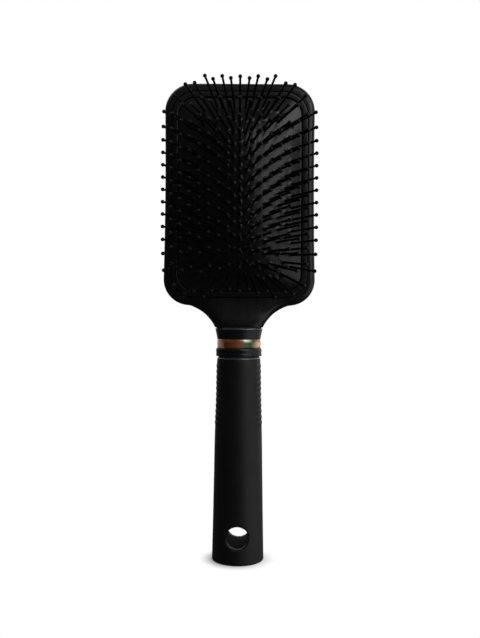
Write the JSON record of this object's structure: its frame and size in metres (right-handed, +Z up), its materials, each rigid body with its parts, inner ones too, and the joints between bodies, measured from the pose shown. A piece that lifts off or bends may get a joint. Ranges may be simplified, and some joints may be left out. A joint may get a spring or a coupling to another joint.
{
  "type": "paddle hair brush",
  "caption": "Flat paddle hair brush with ball-tipped pins on a sprung air cushion, collared neck and round soft-grip handle with a hanging hole.",
  "frame": {"origin": "centre of the flat end of the handle, which the brush stands on", "axes": "+Z up along the handle to the head, pins facing -Y, +X to the right seen from the pin side"},
  "size_m": [0.0794, 0.0531, 0.25],
  "materials": {
    "head_plastic": "satin black moulded plastic",
    "frame_plastic": "matt black moulded plastic",
    "pad_rubber": "glossy black rubber",
    "pin_nylon": "smooth black nylon",
    "trim_metal": "thin darkened metal trim",
    "collar_plastic": "glossy blue-black plastic",
    "accent_foil": "iridescent copper foil with green glints",
    "grip_rubber": "soft-touch matt black",
    "core_plastic": "plain dark grey moulded plastic"
  },
  "bodies": {
    "brush_frame": {"paddle_head": "head_plastic", "front_frame": "frame_plastic", "pad_carrier": "core_plastic", "cushion": "pad_rubber", "upper_trim_ring": "trim_metal", "upper_collar": "collar_plastic", "accent_ring": "accent_foil", "lower_collar": "collar_plastic", "lower_trim_ring": "trim_metal", "grip_sleeve": "grip_rubber", "handle_core": "core_plastic"},
    "pin_row_01": {"pin_strip_01": "pin_nylon"},
    "pin_row_02": {"pin_strip_02": "pin_nylon"},
    "pin_row_03": {"pin_strip_03": "pin_nylon"},
    "pin_row_04": {"pin_strip_04": "pin_nylon"},
    "pin_row_05": {"pin_strip_05": "pin_nylon"},
    "pin_row_06": {"pin_strip_06": "pin_nylon"},
    "pin_row_07": {"pin_strip_07": "pin_nylon"},
    "pin_row_08": {"pin_strip_08": "pin_nylon"},
    "pin_row_09": {"pin_strip_09": "pin_nylon"},
    "pin_row_10": {"pin_strip_10": "pin_nylon"},
    "pin_row_11": {"pin_strip_11": "pin_nylon"},
    "pin_row_12": {"pin_strip_12": "pin_nylon"},
    "pin_row_13": {"pin_strip_13": "pin_nylon"},
    "pin_row_14": {"pin_strip_14": "pin_nylon"},
    "pin_row_15": {"pin_strip_15": "pin_nylon"},
    "pin_row_16": {"pin_strip_16": "pin_nylon"},
    "pin_row_17": {"pin_strip_17": "pin_nylon"}
  },
  "joints": [
    {"name": "cushion_press", "type": "slide", "parent": "brush_frame", "child": "pin_row_09", "axis": [0, 1, 0], "range_m": [0, 0.005], "stiffness_N_per_m": 120, "deforming": ["cushion"]},
    {"name": "row_01_press", "type": "slide", "parent": "brush_frame", "child": "pin_row_01", "axis": [0, 1, 0], "range_m": [0, 0.00149], "stiffness_N_per_m": 120},
    {"name": "row_02_press", "type": "slide", "parent": "brush_frame", "child": "pin_row_02", "axis": [0, 1, 0], "range_m": [0, 0.00232], "stiffness_N_per_m": 120},
    {"name": "row_03_press", "type": "slide", "parent": "brush_frame", "child": "pin_row_03", "axis": [0, 1, 0], "range_m": [0, 0.00304], "stiffness_N_per_m": 120},
    {"name": "row_04_press", "type": "slide", "parent": "brush_frame", "child": "pin_row_04", "axis": [0, 1, 0], "range_m": [0, 0.00364], "stiffness_N_per_m": 120},
    {"name": "row_05_press", "type": "slide", "parent": "brush_frame", "child": "pin_row_05", "axis": [0, 1, 0], "range_m": [0, 0.00414], "stiffness_N_per_m": 120},
    {"name": "row_06_press", "type": "slide", "parent": "brush_frame", "child": "pin_row_06", "axis": [0, 1, 0], "range_m": [0, 0.00452], "stiffness_N_per_m": 120},
    {"name": "row_07_press", "type": "slide", "parent": "brush_frame", "child": "pin_row_07", "axis": [0, 1, 0], "range_m": [0, 0.0048], "stiffness_N_per_m": 120},
    {"name": "row_08_press", "type": "slide", "parent": "brush_frame", "child": "pin_row_08", "axis": [0, 1, 0], "range_m": [0, 0.00496], "stiffness_N_per_m": 120},
    {"name": "row_10_press", "type": "slide", "parent": "brush_frame", "child": "pin_row_10", "axis": [0, 1, 0], "range_m": [0, 0.00496], "stiffness_N_per_m": 120},
    {"name": "row_11_press", "type": "slide", "parent": "brush_frame", "child": "pin_row_11", "axis": [0, 1, 0], "range_m": [0, 0.0048], "stiffness_N_per_m": 120},
    {"name": "row_12_press", "type": "slide", "parent": "brush_frame", "child": "pin_row_12", "axis": [0, 1, 0], "range_m": [0, 0.00452], "stiffness_N_per_m": 120},
    {"name": "row_13_press", "type": "slide", "parent": "brush_frame", "child": "pin_row_13", "axis": [0, 1, 0], "range_m": [0, 0.00414], "stiffness_N_per_m": 120},
    {"name": "row_14_press", "type": "slide", "parent": "brush_frame", "child": "pin_row_14", "axis": [0, 1, 0], "range_m": [0, 0.00364], "stiffness_N_per_m": 120},
    {"name": "row_15_press", "type": "slide", "parent": "brush_frame", "child": "pin_row_15", "axis": [0, 1, 0], "range_m": [0, 0.00304], "stiffness_N_per_m": 120},
    {"name": "row_16_press", "type": "slide", "parent": "brush_frame", "child": "pin_row_16", "axis": [0, 1, 0], "range_m": [0, 0.00232], "stiffness_N_per_m": 120},
    {"name": "row_17_press", "type": "slide", "parent": "brush_frame", "child": "pin_row_17", "axis": [0, 1, 0], "range_m": [0, 0.00149], "stiffness_N_per_m": 120}
  ],
  "couplings": [
    {"joint": "row_01_press", "follows": "cushion_press", "ratio": 0.2944},
    {"joint": "row_02_press", "follows": "cushion_press", "ratio": 0.45978},
    {"joint": "row_03_press", "follows": "cushion_press", "ratio": 0.6031},
    {"joint": "row_04_press", "follows": "cushion_press", "ratio": 0.72437},
    {"joint": "row_05_press", "follows": "cushion_press", "ratio": 0.8236},
    {"joint": "row_06_press", "follows": "cushion_press", "ratio": 0.90077},
    {"joint": "row_07_press", "follows": "cushion_press", "ratio": 0.9559},
    {"joint": "row_08_press", "follows": "cushion_press", "ratio": 0.98898},
    {"joint": "row_10_press", "follows": "cushion_press", "ratio": 0.98898},
    {"joint": "row_11_press", "follows": "cushion_press", "ratio": 0.9559},
    {"joint": "row_12_press", "follows": "cushion_press", "ratio": 0.90077},
    {"joint": "row_13_press", "follows": "cushion_press", "ratio": 0.8236},
    {"joint": "row_14_press", "follows": "cushion_press", "ratio": 0.72437},
    {"joint": "row_15_press", "follows": "cushion_press", "ratio": 0.6031},
    {"joint": "row_16_press", "follows": "cushion_press", "ratio": 0.45978},
    {"joint": "row_17_press", "follows": "cushion_press", "ratio": 0.2944}
  ]
}
